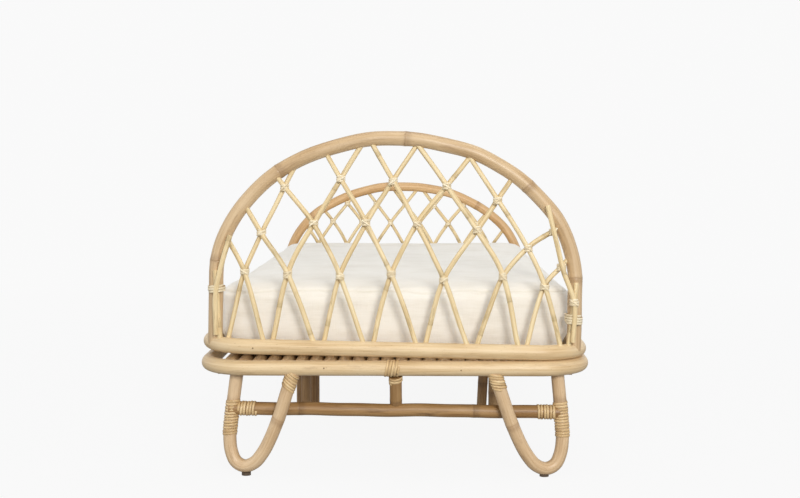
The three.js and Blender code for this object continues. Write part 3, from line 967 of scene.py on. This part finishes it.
deck = dict(radius=5.7 * mm, height=85.5 * mm, count=24, pitch=11.1 * mm, clearance=0.5 * mm,
            battenRadius=3.6 * mm, battenHeight=78.3 * mm, battenLength=280 * mm,
            places=(-244, -82, 82, 244))


def slatReach(x):
    past = max(abs(x) + deck["radius"] - (lowerHalfWidth - rail["corner"]), 0)
    clear = rail["corner"] - rail["radius"] - deck["clearance"]
    return endY - rail["corner"] + math.sqrt(clear**2 - past**2)


def makeDeck():
    draw = np.random.default_rng(8)
    poles = []
    for index in range(deck["count"]):
        x = (index - (deck["count"] - 1) / 2) * deck["pitch"]
        reach = slatReach(x)
        path = resample(np.array([(x, -reach, deck["height"]), (x, reach, deck["height"])]), 0.006)
        poles.append(dict(path=path, thick=deck["radius"] * draw.uniform(0.98, 1.0), seed=400.0 + index,
                          knuckles=list(np.arange(draw.uniform(0.02, 0.2), 0.55, 0.19))))
    for place in deck["places"]:
        half = deck["battenLength"] / 2
        height = deck["battenHeight"]
        path = np.array([(-half, place * mm, height), (half, place * mm, height)])
        poles.append(dict(path=resample(path, 0.004), thick=deck["battenRadius"], seed=450.0 + place,
                          knuckles=[0.07, 0.2]))
    settle(makePoles("slatDeck", poles, slatCane, 16, 0.02), "frame", "cane_slat", "slat_deck")


makeDeck()
print("deck made")


# the mattress

pad = dict(voxel=5 * mm, inset=(1.0 * mm, 1.0 * mm, 0.8 * mm), pressure=4.0, cap=3.2 * mm, frames=20,
           seamHeight=5 * mm, spread=(5.0 * mm, 1.5 * mm), spreadFrom=100 * mm, spreadOver=12 * mm)


def cleanCopy(node, name):
    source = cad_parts[node]
    mesh = source.data.copy()
    mesh.name = name
    piece = bpy.data.objects.new(name, mesh)
    bpy.context.scene.collection.objects.link(piece)
    shape = bmesh.new()
    shape.from_mesh(mesh)
    bmesh.ops.remove_doubles(shape, verts=shape.verts, dist=1e-5)
    shape.to_mesh(mesh)
    shape.free()
    mesh.materials.clear()
    return piece


def applied(piece):
    graph = bpy.context.evaluated_depsgraph_get()
    mesh = bpy.data.meshes.new_from_object(piece.evaluated_get(graph))
    piece.modifiers.clear()
    piece.data = mesh


def coordinates(piece):
    flat = np.zeros(len(piece.data.vertices) * 3, np.float64)
    piece.data.vertices.foreach_get("co", flat)
    return flat.reshape(-1, 3)


def setCoordinates(piece, points):
    piece.data.vertices.foreach_set("co", points.astype(np.float32).ravel())
    piece.data.update()


def puffUp(piece, start):
    cloth = piece.modifiers.new("puff", "CLOTH")
    cloth.settings.quality = 5
    cloth.settings.mass = 0.3
    cloth.settings.use_pressure = True
    cloth.settings.uniform_pressure_force = pad["pressure"]
    cloth.settings.effector_weights.gravity = 0
    for frameNumber in range(1, pad["frames"] + 1):
        bpy.context.scene.frame_set(frameNumber)
    applied(piece)
    bpy.context.scene.frame_set(1)
    moved = coordinates(piece) - start
    length = np.linalg.norm(moved, axis=1)
    moved *= np.minimum(1, pad["cap"] / np.maximum(length, 1e-9))[:, None]
    setCoordinates(piece, start + moved)


def makeMattress():
    low, high = (np.array(corner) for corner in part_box("mattress"))
    piece = cleanCopy("mattress", "mattressPad")
    middle = (low + high) / 2
    half = (high - low) / 2
    points = coordinates(piece)
    setCoordinates(piece, middle + (points - middle) * (1 - np.array(pad["inset"]) / half))
    remesh = piece.modifiers.new("even", "REMESH")
    remesh.mode = "VOXEL"
    remesh.voxel_size = pad["voxel"]
    applied(piece)
    start = coordinates(piece)
    puffUp(piece, start)
    refine = piece.modifiers.new("refine", "SUBSURF")
    refine.levels = refine.render_levels = 1
    applied(piece)
    shapeMattress(piece, low, high)
    piece.data.materials.clear()
    piece.data.materials.append(cotton)
    for face in piece.data.polygons:
        face.use_smooth = True
    settle(piece, "mattress", "cotton", "mattress")


def shapeMattress(piece, low, high):
    points = coordinates(piece)
    flat = np.zeros(len(points) * 3)
    piece.data.vertices.foreach_get("normal", flat)
    normals = flat.reshape(-1, 3)
    seam = high[2] - pad["seamHeight"]
    moved = np.zeros(len(points))
    for index, (x, y, z) in enumerate(points):
        sideways = 1 - abs(normals[index][2])
        wrinkle = noise.noise(Vector((x * 22, y * 22, z * 210)))
        fold = noise.noise(Vector((x * 60, y * 60, z * 420 + 7)))
        band = math.exp(-((z - seam + 1 * mm) / (7 * mm)) ** 2)
        moved[index] += sideways * band * (0.85 * wrinkle + 0.6 * fold) * mm
        moved[index] -= sideways * 0.95 * mm * math.exp(-((z - seam) / (1.6 * mm)) ** 2)
        broad = noise.noise(Vector((x * 9, y * 9, z * 9 + 3)))
        moved[index] += 0.9 * mm * broad * (1 - 0.5 * sideways)
    points = points + normals * moved[:, None]
    spread = 1 + np.array(pad["spread"]) / high[:2]
    share = np.clip((points[:, 2] - pad["spreadFrom"]) / pad["spreadOver"], 0, 1)[:, None]
    points[:, :2] *= 1 + (spread - 1) * share * share * (3 - 2 * share)
    points[:, 2] = np.maximum(points[:, 2], low[2] + 0.1 * mm)
    setCoordinates(piece, points)


makeMattress()
print("mattress made")


# nails and feet

nails = dict(radius=0.6 * mm, places=[
    (-106.8, "upper", -0.4, 0.0), (-52.8, "lower", 0.7, 0.0), (51.3, "lower", -0.6, 0.0),
    (2.7, "lower", -3.6, 0.8),
])  # across, which rail, height over its middle, how far out of its skin


def makeNails():
    strings = []
    for end in (-1, 1):
        for x, which, rise, out in nails["places"]:
            slope = math.sin(math.radians(upperFrame["lean"]))
            z = lowerHeight + rise * mm if which == "lower" else upperHeight + (rise - x * slope) * mm
            y = endY + math.sqrt(rail["radius"] ** 2 - (rise * mm) ** 2) + out * mm
            path = np.array([(x * mm, end * (y + step * mm), z) for step in (-1.2, 0.05, 0.25)])
            strings.append(dict(path=path, thick=np.array([1, 1, 0.75]) * nails["radius"], seed=500.0))
    settle(makePoles("nails", strings, nailSteel, 12, 0.0, 0.002, 0.0), "frame", "cane_rail")


makeNails()
for nodeName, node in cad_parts.items():
    if "glide" in nodeName:
        node.data.materials.clear()
        node.data.materials.append(footRubber)
print("nails and feet made")
